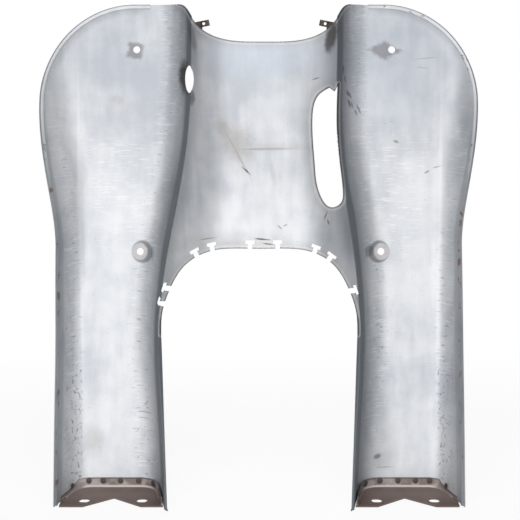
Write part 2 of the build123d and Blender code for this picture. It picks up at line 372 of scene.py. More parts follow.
def run_between(start, end, step=3.0):
    """Points from start up to, but without, end."""
    start, end = np.asarray(start, float), np.asarray(end, float)
    count = max(int(np.hypot(*(end - start)) / step), 1)
    t = np.linspace(0, 1, count, endpoint=False)[:, None]
    return start * (1 - t) + end * t


def arch_edge(step=2.0):
    """Upper edge of the arch from its left foot to its right foot."""
    shares = [(1.0, 0.0), (0.99, 0.27), (0.92, 0.55), (0.78, 0.82), (0.49, 0.98)]
    half = [(x * ARCH_HALF_WIDTH, ARCH_FOOT + z * (ARCH_TOP - ARCH_FOOT)) for x, z in shares]
    left = [(-x, z) for x, z in half]
    return curve_through(left + [(0, ARCH_TOP)] + half[::-1], (0, 1), (0, -1), step)


def arch_loop():
    """The gap between the legs."""
    edge = arch_edge()
    left_foot, right_foot = (-FOOT_HALF_WIDTH, -OVERRUN), (FOOT_HALF_WIDTH, -OVERRUN)
    return np.concatenate([
        run_between(left_foot, edge[0]), edge[:-1], run_between(edge[-1], right_foot), [right_foot],
    ])


def outline_loop():
    """Front outline of the pressing before the arch is cut, a little inside the hem and above the floor."""
    inset, lowest, foot_step = 1.0, 0.4, 6.0
    right, dip = outer_edge(inset), dip_edge()
    right[:, 1] = np.maximum(right[:, 1], lowest)
    left = mirrored(right)
    return np.concatenate([
        left[:-1], run_between(left[-1], right[0], foot_step), right[:-1], run_between(right[-1], dip[-1]),
        dip[::-1][:-1], run_between(dip[0], left[0]),
    ])


def notch_loops():
    """T-shaped notches that stand on the arch's edge, square to it."""
    neck, head, depth, head_depth = 2.75, 5.4, 9.5, 4.2
    shape = np.array([
        (-neck, -depth), (neck, -depth), (neck, depth - head_depth), (head, depth - head_depth),
        (head, depth), (-head, depth), (-head, depth - head_depth), (-neck, depth - head_depth),
    ])
    edge = arch_edge(0.5)
    slope = unit(np.gradient(edge, axis=0))
    loops = []
    for place in NOTCH_PLACES:
        index = int(np.searchsorted(edge[:, 0], place))
        along = slope[index]
        loops.append(edge[index] + shape[:, :1] * along + shape[:, 1:] * np.array([-along[1], along[0]]))
    return loops


def ring(middle, radius_x, radius_z, count):
    """Ellipse in the front view."""
    angle = np.linspace(0, 2 * math.pi, count, endpoint=False)
    return np.asarray(middle) + np.stack([radius_x * np.cos(angle), radius_z * np.sin(angle)], 1)


def cut_loop():
    """Hand-cut opening beside the right ridge, with a sharp tooth at its top."""
    places = [
        (75, 468), (63, 459), (56, 432), (59, 376), (64, 347), (77, 332),
        (88, 339), (90, 352), (86, 389), (84, 438), (85.5, 472),
    ]
    tooth = (80.5 + SADDLE_SHIFT, 464.0)
    rounded = curve_through([(x + SADDLE_SHIFT, z) for x, z in places], None, None, 2.0)
    return np.concatenate([rounded, [tooth]])


def hole_loops():
    """Bolt holes and the oval slot on the left ridge."""
    loops = [ring(OVAL_PLACE, 0.5 * OVAL_SIZE[0], 0.5 * OVAL_SIZE[1], 48)]
    for hole in (UPPER_HOLE, LOWER_HOLE):
        loops += [ring(place, HOLE_RADIUS, HOLE_RADIUS, 32) for place in hole_pair(hole)]
    return loops


def inside(points, loop):
    """Which points of the front view lie inside a closed loop, with an odd number of sides to their right."""
    x, z = points[:, 0][:, None], points[:, 1][:, None]
    ax, az = loop[:, 0][None], loop[:, 1][None]
    bx, bz = np.roll(loop[:, 0], -1)[None], np.roll(loop[:, 1], -1)[None]
    spans = (az > z) != (bz > z)
    rise = np.where(bz == az, 1.0, bz - az)
    return ((spans & (x < ax + (z - az) * (bx - ax) / rise)).sum(1) % 2).astype(bool)


def on_sheet(points, outline, cuts):
    """Which points of the front view lie inside the outline and in no cut."""
    kept = inside(points, outline)
    for cut in cuts:
        kept &= ~inside(points, cut)
    return kept


def nearest_gap(points, loop):
    """Distance in the front view from each point to a loop's nearest corner, a block of points at a time."""
    block = 4000
    gaps = np.empty(len(points))
    for start in range(0, len(points), block):
        part = slice(start, start + block)
        gaps[part] = np.sqrt(((points[part, None] - loop[None]) ** 2).sum(2)).min(1)
    return gaps


def loop_edges(loops, start):
    """Pairs of point numbers round closed loops whose points are numbered on from start."""
    edges = []
    for loop in loops:
        number = start + np.arange(len(loop))
        edges.append(np.stack([number, np.roll(number, -1)], 1))
        start += len(loop)
    return np.concatenate(edges)


def trimmed_sheet():
    """Triangles of the sheet in the front view: the section's grid, meshed up to every edge and cut."""
    outline = outline_loop()
    cuts = [arch_loop(), cut_loop(), *hole_loops(), *notch_loops()]
    seats = [ring(place, r, r, 40) for place in hole_pair(LOWER_HOLE) for r in (SEAT_INNER, SEAT_OUTER)]
    loops = [outline, *cuts, *seats]
    z = np.arange(LOWEST_ROW, EAR_TOP + ROW_STEP, ROW_STEP)
    across, _ = section(z)
    grid = np.stack([across, np.broadcast_to(z[:, None], across.shape)], 2).reshape(-1, 2)
    grid = grid[on_sheet(grid, outline, cuts)]
    dense = [run_between(a, b, EDGE_STEP) for loop in loops for a, b in zip(loop, np.roll(loop, -1, 0))]
    grid = grid[nearest_gap(grid, np.concatenate(dense)) > EDGE_CLEARANCE]
    flat = np.concatenate([grid, *loops])
    made = delaunay_2d_cdt(flat.tolist(), loop_edges(loops, len(grid)).tolist(), [], 0, 1e-4)
    flat = np.array([(p.x, p.y) for p in made[0]])
    triangles = np.array(made[2])
    triangles = triangles[on_sheet(flat[triangles].mean(1), outline, cuts)]
    used, triangles = np.unique(triangles, return_inverse=True)
    flat, triangles = flat[used], triangles.reshape(-1, 3)
    a, b, c = (flat[triangles[:, i]] for i in range(3))
    turned = (b[:, 0] - a[:, 0]) * (c[:, 1] - a[:, 1]) - (b[:, 1] - a[:, 1]) * (c[:, 0] - a[:, 0]) < 0
    triangles[turned] = triangles[turned][:, ::-1]
    return flat, triangles


def mesh_object(name, points, faces, material):
    """A smooth-shaded object from an array of points and a list of faces."""
    mesh = bpy.data.meshes.new(name)
    mesh.from_pydata(points.tolist(), [], faces)
    mesh.shade_smooth()
    mesh.materials.append(material)
    made = bpy.data.objects.new(name, mesh)
    bpy.context.scene.collection.objects.link(made)
    return made


def riding_piece(name, points, faces, material):
    """A smooth-shaded object that rides on the shield."""
    piece = mesh_object(name, points, faces, material)
    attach(piece, "root")
    return piece


def sharpen_border(mesh):
    """Marks the edges that belong to one face only as sharp, so that a wall's rim stays crisp."""
    loops = np.empty(len(mesh.loops), np.int32)
    mesh.loops.foreach_get("edge_index", loops)
    count = np.bincount(loops, minlength=len(mesh.edges))
    mesh.edges.foreach_set("use_edge_sharp", count == 1)


def store(mesh, name, values):
    """Stores one number per point for the materials."""
    mesh.attributes.new(name, "FLOAT", "POINT").data.foreach_set("value", np.asarray(values, np.float32))


def paint_node(name, material):
    """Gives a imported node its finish."""
    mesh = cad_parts[name].data
    mesh.materials.clear()
    mesh.materials.append(material)


def soft_marks(flat, marks):
    """Share of broad marks per point: a smooth step of the distance from each ellipse, the strongest kept."""
    soft = 0.7
    share = np.zeros(len(flat))
    for x, z, half_x, half_z, turn, strength in marks:
        across, upward = (flat - (x, z)).T
        cosine, sine = math.cos(math.radians(turn)), math.sin(math.radians(turn))
        u = (across * cosine + upward * sine) / half_x
        v = (upward * cosine - across * sine) / half_z
        t = np.clip((1 + soft - np.hypot(u, v)) / (2 * soft), 0, 1)
        share = np.maximum(share, strength * smooth(t))
    return share


def sheet_fields(flat):
    """Numbers per point for the materials.

    They are millimetres in the front view from the crests, outwards, from the outer edge and from the nearest
    cut, and the shares of the broad painted highlights, the painted shading and the cooler places.
    """
    x, z = flat[:, 0], flat[:, 1]
    lines = np.stack([shift_at(STATIONS), RIDGE_HALF_WIDTH], 1)
    middle, ridge = cubic_through(STATIONS, lines, z).T
    right = outer_edge(0.0, 1.0)
    cuts = [dip_edge(1.0), arch_edge(1.0), cut_loop()]
    return {
        "crest": np.abs(x - middle) - ridge,
        "rim": nearest_gap(flat, np.concatenate([right, mirrored(right)])),
        "border": nearest_gap(flat, np.concatenate(cuts)),
        "broad_painted_highlights": soft_marks(flat, BROAD_PAINTED_HIGHLIGHTS),
        "shades": soft_marks(flat, SHADES),
        "blue_places": soft_marks(flat, BLUE_PLACES),
    }


def fold_strip(side):
    """Hollow fold between a bracket's lip and shelf: a quarter round carried along the lip's foot."""
    inner_end, outer_end = FOOT_HALF_WIDTH + 9, BRACKET_OUTER - 2
    x = side * np.linspace(inner_end, outer_end, 90)
    foot = np.stack([x, np.full_like(x, BRACKET_PLATE)], 1)
    points, normals = place_on_sheet(foot, WELD_GAP + BRACKET_PLATE)
    points[:, 2] = BRACKET_PLATE * MM
    outward = unit(normals * (1, 1, 0))
    angle = np.linspace(0, 0.5 * math.pi, 9)
    arc = FOLD_RADIUS * (1 - np.stack([np.cos(angle), np.sin(angle)], 1))
    buried_corner = (-0.2, -0.2)
    profile = np.concatenate([arc, [buried_corner]]) * MM
    rows = points[:, None] + outward[:, None] * profile[None, :, :1] + profile[None, :, 1:] * (0, 0, 1)
    return rows.reshape(-1, 3), tube_faces(len(x), len(profile), side > 0)


def weld_spots(side):
    """Spot welds on a bracket's lip: domes whose height falls as 1 - r^2, on a grid of rings by angles."""
    sunk = 0.1
    place = np.array([(side * x, WELD_HEIGHT) for x in WELD_PLACES])
    points, normals = place_on_sheet(place, WELD_GAP + BRACKET_PLATE - sunk)
    level = unit(np.cross((0.0, 0.0, 1.0), normals))
    upright = np.cross(normals, level)
    rings, angles = np.linspace(0.02, 1, 7), np.linspace(0, 2 * math.pi, 24, endpoint=False)
    share, angle = np.meshgrid(rings, angles, indexing="ij")
    u, v = WELD_RADIUS * share * np.cos(angle), WELD_RADIUS * share * np.sin(angle)
    h = WELD_DOME * (1 - share**2)
    spots = points[:, None, None] + MM * (
        level[:, None, None] * u[None, ..., None] + upright[:, None, None] * v[None, ..., None]
        + normals[:, None, None] * h[None, ..., None])
    faces = []
    for spot in range(len(place)):
        start = spot * share.size
        faces += [[start + k for k in face] for face in tube_faces(*share.shape, True)]
    return spots.reshape(-1, 3), faces


def tube_faces(count, sides, turned):
    """Faces of a closed profile carried along a path, with both ends shut."""
    i, j = np.meshgrid(np.arange(count - 1), np.arange(sides), indexing="ij")
    here, side = i * sides + j, i * sides + (j + 1) % sides
    faces = np.stack([here, side, side + sides, here + sides], 2).reshape(-1, 4)
    if turned:
        faces = faces[:, ::-1]
    first, last = list(range(sides)), [(count - 1) * sides + k for k in range(sides)]
    ends = [first, last[::-1]] if turned else [first[::-1], last]
    return faces.tolist() + ends


def swept_band(path, normals, profile):
    """A closed profile carried along a path: each row is path + inward * u + normal * v."""
    inward = unit(np.cross(normals, unit(np.gradient(path, axis=0))))
    rows = path[:, None] + inward[:, None] * profile[None, :, :1] + normals[:, None] * profile[None, :, 1:]
    return rows.reshape(-1, 3), tube_faces(len(path), len(profile), False)


def flat_round(width, thickness):
    """Stadium profile: a band with round sides, as a folded hem has."""
    radius = 0.5 * thickness
    angle = np.linspace(-0.5 * math.pi, 0.5 * math.pi, 8)
    side = np.stack([0.5 * width - radius + radius * np.cos(angle), radius * np.sin(angle)], 1)
    return np.concatenate([side, -side])


class Value:
    """A number that varies over a surface; arithmetic on it adds Math nodes."""

    def __init__(self, paint, socket):
        self.paint = paint
        self.socket = socket

    def work_out(self, operation, *others):
        """Result of a Math node fed with this value and the others."""
        sockets = dict(enumerate((self, *others)))
        return self.paint.node("ShaderNodeMath", {"operation": operation}, sockets).value()

    __add__ = partialmethod(work_out, "ADD")
    __sub__ = partialmethod(work_out, "SUBTRACT")
    __mul__ = partialmethod(work_out, "MULTIPLY")
    __truediv__ = partialmethod(work_out, "DIVIDE")
    __pow__ = partialmethod(work_out, "POWER")
    least = partialmethod(work_out, "MINIMUM")
    most = partialmethod(work_out, "MAXIMUM")
    size = partialmethod(work_out, "ABSOLUTE")

    def __rsub__(self, other):
        return (self * -1) + other

    def between(self, low, high):
        """0 below low, 1 above high and smooth between; falls instead where low is above high."""
        settings = {"interpolation_type": "SMOOTHSTEP", "clamp": False}
        if low <= high:
            sockets = {"Value": self, "From Min": low, "From Max": high}
        else:
            sockets = {"Value": self, "From Min": high, "From Max": low, "To Min": 1.0, "To Max": 0.0}
        return self.paint.node("ShaderNodeMapRange", settings, sockets).value("Result")


class Made:
    """A node that was made, with its outputs as values or links."""

    def __init__(self, paint, node):
        self.paint = paint
        self.made = node

    def link(self, output=0):
        """An output to link from."""
        return self.made.outputs[output]

    def value(self, output=0):
        """An output as a value."""
        return Value(self.paint, self.made.outputs[output])


class Paint:
    """A material in the making."""

    def __init__(self, name):
        self.material = bpy.data.materials.new(name)
        self.material.use_nodes = True
        self.tree = self.material.node_tree
        self.tree.nodes.clear()
        self.place = self.node("ShaderNodeTexCoord").link("Object")
        parts = self.node("ShaderNodeSeparateXYZ", {}, {0: self.place})
        self.x, self.y, self.z = (parts.value(i) * (1 / MM) for i in range(3))

    def node(self, kind, settings=None, sockets=None):
        """Any node: its type, its settings, then the values or links of its sockets."""
        node = self.tree.nodes.new(kind)
        for name, setting in (settings or {}).items():
            setattr(node, name, setting)
        for name, given in (sockets or {}).items():
            socket = node.inputs[name]
            if isinstance(given, Value):
                given = given.socket
            if isinstance(given, bpy.types.NodeSocket):
                self.tree.links.new(given, socket)
            else:
                socket.default_value = given
        return Made(self, node)

    def stored(self, name):
        """A number stored per point of the mesh."""
        return self.node("ShaderNodeAttribute", {"attribute_name": name}).value("Fac")

    def noise(self, scale, detail, stretch=(1, 1, 1), turn=(0, 0, 0), shift=(0, 0, 0)):
        """Noise from 0 to 1; scale is per metre, after the place is stretched and turned."""
        mapped = self.node("ShaderNodeMapping", {}, {
            "Vector": self.place, "Scale": stretch, "Rotation": turn, "Location": shift})
        return self.node("ShaderNodeTexNoise", {}, {
            "Vector": mapped.link(), "Scale": scale, "Detail": detail}).value("Fac")

    def blot(self, x, z, half_x, half_z, turn, strength, soft, ragged=None, square=False):
        """Soft-edged ellipse or diamond on the front view, in millimetres and degrees, at any depth."""
        depth = 1e4
        local = self.node("ShaderNodeMapping", {"vector_type": "TEXTURE"}, {
            "Vector": self.place, "Location": (x * MM, 0, z * MM),
            "Rotation": (0, -math.radians(turn), 0), "Scale": (2 * half_x * MM, depth, 2 * half_z * MM)})
        if square:
            size = self.node("ShaderNodeVectorMath", {"operation": "ABSOLUTE"}, {0: local.link()}).link()
            near = 1 - self.node("ShaderNodeVectorMath", {"operation": "DOT_PRODUCT"}, {
                0: size, 1: (1.0, 0.0, 1.0)}).value("Value")
        else:
            ball = self.node("ShaderNodeTexGradient", {"gradient_type": "SPHERICAL"}, {0: local.link()})
            near = ball.value("Fac")
        if ragged is not None:
            near = near - ragged * 0.5
        return near.between(0.5 - 0.5 * soft, 0.5 + 0.5 * soft) * strength

    def blots(self, marks, soft, ragged=None, square=False):
        """Several blots as one share, the strongest where they meet."""
        return reduce(Value.most, (self.blot(*mark, soft, ragged, square) for mark in marks))

    def mix(self, share, first, second):
        """A colour between two, by a share; each of the two is a link or a colour."""
        sockets = {"Factor": share}
        for number, end in ((6, first), (7, second)):
            sockets[number] = end if isinstance(end, bpy.types.NodeSocket) else (*end, 1.0)
        return self.node("ShaderNodeMix", {"data_type": "RGBA"}, sockets).link(2)

    def bump(self, height, distance, strength):
        """A normal bent by a height from 0 to 1, distance metres tall."""
        sockets = {"Height": height, "Distance": distance, "Strength": strength}
        return self.node("ShaderNodeBump", {}, sockets).link()

    def finish(self, **sockets):
        """Ends the material in one Principled shader; keys are its sockets' names with _ for a space."""
        named = {name.replace("_", " "): given for name, given in sockets.items()}
        shader = self.node("ShaderNodeBsdfPrincipled", {}, named)
        self.node("ShaderNodeOutputMaterial", {}, {"Surface": shader.link()})
        return self.material


def steel_tone(p, colours):
    """Cloudy bare steel with fine scratches up, level and slanting: its colour and its scratches."""
    cloud = p.noise(11.0, 4.0)
    patch = p.noise(48.0, 3.0, shift=(5, 3, 1))
    upright = p.noise(1.0, 3.0, (900, 900, 14)).between(0.60, 0.74)
    level = p.noise(1.0, 3.0, (12, 12, 800), shift=(3, 1, 2)).between(0.62, 0.76)
    slant = p.noise(1.0, 2.0, (700, 700, 20), turn=(0, math.radians(38), 0)).between(0.66, 0.76)
    scratch = (upright * 0.5 + level * 0.6 + slant * 0.5).least(1.0)
    streak = p.noise(1.0, 2.0, (75, 75, 3.0))
    share = (cloud - 0.5) * 1.7 + (patch - 0.5) * 0.7 + (streak - 0.5) * 0.8 + 0.6
    share = share - p.z.between(380.0, 540.0) * 0.25
    tone = p.mix(share.between(0.0, 1.0), colours.steel_dark, colours.steel_light)
    return p.mix(scratch * 0.42, tone, colours.scratch), scratch


def finish_steel(p, tone, scratch, dull):
    """Satin steel that is rougher and less metallic by a share of marks, dirt and rust, which on the sheet
    also holds painted shading.
    """
    grain = p.noise(300.0, 2.0)
    dents = p.noise(16.0, 3.0)
    rough = scratch * 0.06 + grain * 0.10 + dull * 0.25 + 0.46
    metal = dull * -0.42 + 0.45
    bump = p.bump(grain * 0.3 + scratch * -0.6 + dents * 4.0, 0.00012, 0.5)
    return p.finish(Base_Color=tone, Metallic=metal, Roughness=rough, Normal=bump)


def specks(p):
    """Share of tiny dark specks."""
    return p.noise(700.0, 1.0).between(0.74, 0.78)


def weld_marks(p, across, half_sizes, fade):
    """Share of the spot welds' marks, which fade with the square of the distance from each weld."""
    half_x, half_z = half_sizes
    spots = (
        (((across - place) / half_x) ** 2.0 + ((p.z - WELD_HEIGHT) / half_z) ** 2.0).between(*fade)
        for place in WELD_PLACES
    )
    return reduce(Value.most, spots)


def worn_walls(p, crest, rim):
    """Shares of the pale dashes, dark nicks and slanting hatch that wear has left on walls and floors."""
    walls = crest.between(2.0, 8.0) * crest.between(50.0, 30.0)
    walls = walls.most(rim.between(5.0, 9.0) * rim.between(30.0, 18.0) * p.z.between(480.0, 400.0))
    floor = crest.between(30.0, 45.0) * rim.between(35.0, 50.0)
    floor = floor * p.z.between(250.0, 310.0) * p.z.between(430.0, 380.0)
    dashes = p.noise(1.0, 2.0, (60, 60, 560), shift=(1, 2, 3)).between(0.56, 0.66) * walls.most(floor)
    nicks = p.noise(1.0, 2.0, (130, 130, 460), shift=(7, 2, 1)).between(0.61, 0.70) * walls
    hatch = p.noise(1.0, 2.0, (420, 420, 120), turn=(0, math.radians(-15), 0)).between(0.58, 0.68)
    hatch = hatch * rim.between(12.0, 15.0) * rim.between(27.0, 22.0) * p.z.between(170.0, 130.0)
    return dashes, nicks, hatch


def painted_shade_and_wear(p, crest, rim, nicks, hatch, seat):
    """Share of painted shading in the crease, on the walls below the crests, on the saddle's flank, beside
    the seats and on the outer walls, with the dark nicks and hatch of wear.
    """
    right = p.x.between(-50.0, 50.0)
    # Painted shading: the walls darken towards each crest, and the saddle's flank darkens beside it.
    crease = crest.between(10.0, 2.0) * 0.5 + crest.between(30.0, 4.0) * (right * 0.14 + 0.56)
    crease = crease * crest.between(-2.5, 0.5).most(p.z.between(225.0, 205.0))
    flank = crest.between(-18.0, 0.0) * crest.between(6.0, 2.0) * 0.42
    crease = crease.most(flank) + p.stored("shades")
    # Painted shadow on the inner side of each lower seat.
    hollows = [(x - math.copysign(3.0, x), z, 13.0, 13.0, 0, 1.0) for x, z in hole_pair(LOWER_HOLE)]
    crease = crease.most(p.blots(hollows, 0.1) * (1 - seat) * 0.65)
    # Painted shading on the outer walls, darker towards the rims.
    edge_shade = rim.between(17.0, 5.0) * 0.28 + rim.between(8.0, 5.6) * p.z.between(500.0, 400.0) * 0.2
    dark = crease.most(nicks * (0.5 - p.z.between(150.0, 300.0) * 0.2))
    return dark.most(edge_shade).most(hatch * 0.6).least(0.92)


def sheet_paint(colours):
    """Bare satin steel of the sheet: painted shading in the crease and on the walls, painted highlights and
    reflections, marks, stains and worn edges.

    Ranges are millimetres from a crest, the outer edge, a cut or the floor, or levels of a noise.
    """
    p = Paint("pressed_steel")
    crest, rim, border = p.stored("crest"), p.stored("rim"), p.stored("border")
    ragged = p.noise(170.0, 3.0) - 0.5
    tone, scratch = steel_tone(p, colours)
    dashes, nicks, hatch = worn_walls(p, crest, rim)
    # Painted highlights and reflections.
    highlight_share = (p.blots(PAINTED_HIGHLIGHTS, 0.7) * 0.6).most(p.stored("broad_painted_highlights"))
    tone = p.mix(highlight_share, tone, colours.highlight_and_wear)
    tone = p.mix(dashes * 0.5, tone, colours.highlight_and_wear)
    tone = p.mix(p.stored("blue_places"), tone, colours.steel_blue)
    tone = p.mix(p.blots(STAINS, 0.6, ragged * 0.8), tone, colours.stain)
    tone = p.mix(border.between(14.0, 1.0) * 0.22, tone, colours.stain)
    tone = p.mix(p.blots(GRINDINGS, 0.3, ragged * 0.9, True), tone, colours.grinding)
    seat = p.blots([(x, z, SEAT_INNER, SEAT_INNER, 0, 1.0) for x, z in hole_pair(LOWER_HOLE)], 0.06)
    tone = p.mix(seat * 0.85, tone, colours.seat)
    dark = painted_shade_and_wear(p, crest, rim, nicks, hatch, seat)
    # Painted shading, with dark wear.
    tone = p.mix(dark, tone, colours.shade_and_dirt)
    dots = specks(p) * 0.5
    # Weld scorch, strokes and specks, with painted shadows beside the lower seats.
    scorch_and_shadow = p.blots(SCORCHES_AND_SEAT_SHADOWS, 0.45, ragged * 0.7).most(p.blots(STROKES, 0.5, ragged)).most(dots)
    edge = border.between(1.6, 0.5) * 0.75
    # Painted highlight in a thin line just inside the cut edges.
    tone = p.mix(border.between(1.6, 2.4) * border.between(4.4, 3.2) * 0.25, tone, colours.highlight_and_wear)
    tone = p.mix(scorch_and_shadow.most(edge), tone, colours.scorch_and_shadow)
    return finish_steel(p, tone, scratch, scorch_and_shadow.most(edge).most(dark * 0.4))


def outer_paint(colours):
    """Plain steel of the face that looks forward: worn edges, soft smears and the heat of the spot welds."""
    p = Paint("outer_steel")
    border, rim = p.stored("border"), p.stored("rim")
    tone, scratch = steel_tone(p, colours)
    smear = p.noise(7.0, 4.0, (1, 1, 0.4), shift=(4, 2, 6)).between(0.5, 0.75) * 0.3
    tone = p.mix(smear, tone, colours.steel_dark)
    heat = weld_marks(p, p.x.size(), (4.0, 4.0), (2.2, 0.3))
    dots = specks(p) * 0.4
    edge = border.between(1.6, 0.5).most(rim.between(7.0, 5.0) * 0.4) * 0.7
    dirt = (heat * 0.55).most(dots).most(edge)
    tone = p.mix(dirt, tone, colours.shade_and_dirt)
    return finish_steel(p, tone, scratch, dirt)


def hem_paint(colours):
    """The hem's steel: dark along both its sides, with rust spots, most of them low on the right."""
    p = Paint("hem_steel")
    rim = p.stored("rim")
    tone, scratch = steel_tone(p, colours)
    legs = p.z.between(430.0, 340.0)
    right = p.x.between(-50.0, 50.0)
    rust = (p.noise(95.0, 4.0) + legs * 0.06 + right * 0.03).between(0.64, 0.74) * 0.8
    sides = rim.between(1.9, 0.8) * 0.75
    sides = sides.most(rim.between(4.3, 5.1) * 0.2).most(legs * 0.55)
    tone = p.mix((1 - legs) * 0.3, tone, colours.highlight_and_wear)
    tone = p.mix(sides, tone, colours.shade_and_dirt)
    tone = p.mix(rust, tone, colours.rust)
    return finish_steel(p, tone, scratch, rust.most(sides * 0.5))


def bracket_paint(colours):
    """Brown plate with painted light: the lip paler and the shelf darker, darker still towards its free edge,
    a painted highlight along the fold, and dark spot welds.
    """
    p = Paint("bracket_steel")
    cloud = p.noise(60.0, 4.0)
    lip = p.z.between(2.6, 4.5)
    patch = cloud.between(0.42, 0.62)
    free = p.y.between(-58.0, -86.0)
    # Painted shading: the shelf is darker than the lip, and darker towards its free edge.
    shelf = p.mix(cloud * 0.7 + free * -0.5 + 0.3, colours.bracket_dark, colours.bracket)
    # Painted light: paler patches on the lip.
    band = p.mix(patch * 0.75, colours.bracket, colours.bracket_lit_lip)
    tone = p.mix(lip, shelf, band)
    # Painted highlight along the fold, strongest in the middle of each bracket.
    fold = p.z.between(2.15, 2.7) * p.z.between(5.0, 3.6)
    across = p.x.size()
    middle = across.between(214.0, 206.0) * across.between(122.0, 130.0)
    tone = p.mix(fold * (middle * 0.6 + 0.2), tone, colours.fold)
    weld = weld_marks(p, across, (3.4, 3.6), (1.7, 0.5))
    ends = across.between(211.0, 228.0).most(across.between(123.0, 113.0)) * 0.65
    top = p.z.between(10.6, 11.8) * 0.55
    dirt = weld * (cloud * 0.5 + 0.6)
    dirt = dirt.most((ends + cloud * 0.2) * lip).most(top).least(1.0)
    tone = p.mix(dirt, tone, colours.scorch_and_shadow)
    rough = cloud * 0.2 + 0.42
    bump = p.bump(cloud, 0.0003, 0.4)
    return p.finish(Base_Color=tone, Metallic=0.3, Roughness=rough, Normal=bump)


def tab_paint(colours):
    """Scale-covered dark steel of the tabs."""
    p = Paint("tab_steel")
    cloud = p.noise(140.0, 4.0)
    tone = p.mix(cloud.between(0.35, 0.7), colours.scorch_and_shadow, colours.bracket_dark)
    rough = cloud * 0.2 + 0.5
    bump = p.bump(cloud, 0.0002, 0.5)
    return p.finish(Base_Color=tone, Metallic=0.2, Roughness=rough, Normal=bump)


def colour(name, description, default):
    """A colour that a user may change."""
    return bpy.props.FloatVectorProperty(
        name=name, description=description, subtype="COLOR", size=3, default=default, min=0, max=1)


def length(name, description, default, low, high):
    """A length that a user may change, given in millimetres and kept in metres."""
    return bpy.props.FloatProperty(
        name=name, description=description, unit="LENGTH", default=default * MM, min=low * MM, max=high * MM)


class LegShieldColours(bpy.types.PropertyGroup):
    """Colours of the shield's finishes."""

    steel_light: colour("Light steel", "Clean parts of the sheet", (0.775, 0.787, 0.806))
    steel_dark: colour("Dark steel", "Dull parts of the sheet", (0.555, 0.58, 0.622))
    steel_blue: colour("Blue steel", "Places that look cooler", (0.62, 0.68, 0.78))
    scratch: colour("Scratches", "Bright scratches in the sheet", (0.85, 0.86, 0.88))
    # Painted highlights and reflections, also the pale worn dashes and the paler hems above the legs.
    highlight_and_wear: colour("Gleams", "Rubbed bright places", (0.93, 0.94, 0.955))
    # Painted shading in the crease, on the walls, beside the seats and beside the rims; also dark wear, weld
    # heat, specks and the hems' darker sides.
    shade_and_dirt: colour("Dirt", "Blue-grey dirt in the crease and beside the hems", (0.095, 0.112, 0.128))
    grinding: colour("Grinding", "Grinding marks round the upper holes", (0.19, 0.175, 0.18))
    seat: colour("Seats", "Flat seats of the lower holes", (0.52, 0.485, 0.485))
    stain: colour("Stain", "Brown stains and smears", (0.34, 0.29, 0.24))
    # Weld scorch and scale, also painted shadows beside the lower seats.
    scorch_and_shadow: colour("Scorch", "Weld scorch and scale", (0.035, 0.028, 0.026))
    rust: colour("Rust", "Rust along the hems", (0.16, 0.085, 0.05))
    bracket: colour("Bracket", "Brown plate of the foot brackets", (0.255, 0.20, 0.18))
    # Painted shading of the brackets' shelves; also the tabs' scale.
    bracket_dark: colour("Dark bracket", "Dull parts of the brackets' shelves", (0.15, 0.105, 0.09))
    # Painted light: paler patches on the brackets' lips.
    bracket_lit_lip: colour("Light bracket", "Rubbed parts of the brackets' lips", (0.62, 0.55, 0.545))
    # Painted highlight along the brackets' folds.
    fold: colour("Fold", "Bright fold of the brackets", (0.78, 0.72, 0.69))


class LegShieldSizes(bpy.types.PropertyGroup):
    """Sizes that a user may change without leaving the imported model's box."""

    thickness: length("Sheet", "Thickness of the sheet", SHEET, 0.5, 3.0)
    hem_width: length("Hem width", "Width of the folded hem", HEM_WIDTH, 3.0, 10.0)
    hem_thickness: length("Hem thickness", "Thickness of the folded hem", HEM_THICKNESS, 2.0, 6.0)


class LEGSHIELD_OT_panel(bpy.types.Operator):
    """Makes the pressed sheet with its cuts"""

    bl_idname = "legshield.panel"
    bl_label = "Pressed sheet"

    def execute(self, context):
        colours = context.scene.legshield_colours
        flat, triangles = trimmed_sheet()
        points, _ = place_on_sheet(flat)
        piece = riding_piece("panel_sheet", points, triangles.tolist(), sheet_paint(colours))
        for name, values in sheet_fields(flat).items():
            store(piece.data, name, values)
        sharpen_border(piece.data)
        piece.data.materials.append(outer_paint(colours))
        wall = piece.modifiers.new("wall", "SOLIDIFY")
        wall.material_offset = 1
        wall.thickness = context.scene.legshield_sizes.thickness
        wall.offset = -1.0
        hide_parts("panel")
        return {"FINISHED"}


class LEGSHIELD_OT_hems(bpy.types.Operator):
    """Makes the folded hems along both outer edges"""

    bl_idname = "legshield.hems"
    bl_label = "Hems"

    def execute(self, context):
        sizes = context.scene.legshield_sizes
        width, thickness = sizes.hem_width / MM, sizes.hem_thickness / MM
        material = hem_paint(context.scene.legshield_colours)
        step = 2.5
        edge = outer_edge(0.5 * width, step)
        end = run_between(edge[-1], (HEM_END, edge[-1][1]), step)
        right = np.concatenate([edge[:-1], end])
        profile = flat_round(width, thickness)
        for side, name in ((1, "hem_right"), (-1, "hem_left")):
            path = right * (side, 1)
            points, normals = place_on_sheet(path, -0.5 * SHEET)
            rows, faces = swept_band(points, normals, profile * MM)
            piece = riding_piece(name, np.clip(rows, *CAD_BOX), faces, material)
            piece.data.set_sharp_from_angle(angle=math.radians(60))
            store(piece.data, "rim", np.tile(0.5 * width + side * profile[:, 0], len(path)))
        return {"FINISHED"}


class LEGSHIELD_OT_brackets(bpy.types.Operator):
    """Finishes the foot brackets and adds their rounded folds and spot welds"""

    bl_idname = "legshield.brackets"
    bl_label = "Foot brackets"

    def execute(self, context):
        material = bracket_paint(context.scene.legshield_colours)
        for side, name in ((-1, "left"), (1, "right")):
            paint_node(f"foot_bracket_{name}", material)
            for kind, shape in (("fold", fold_strip), ("welds", weld_spots)):
                piece = riding_piece(f"bracket_{kind}_{name}", *shape(side), material)
        return {"FINISHED"}


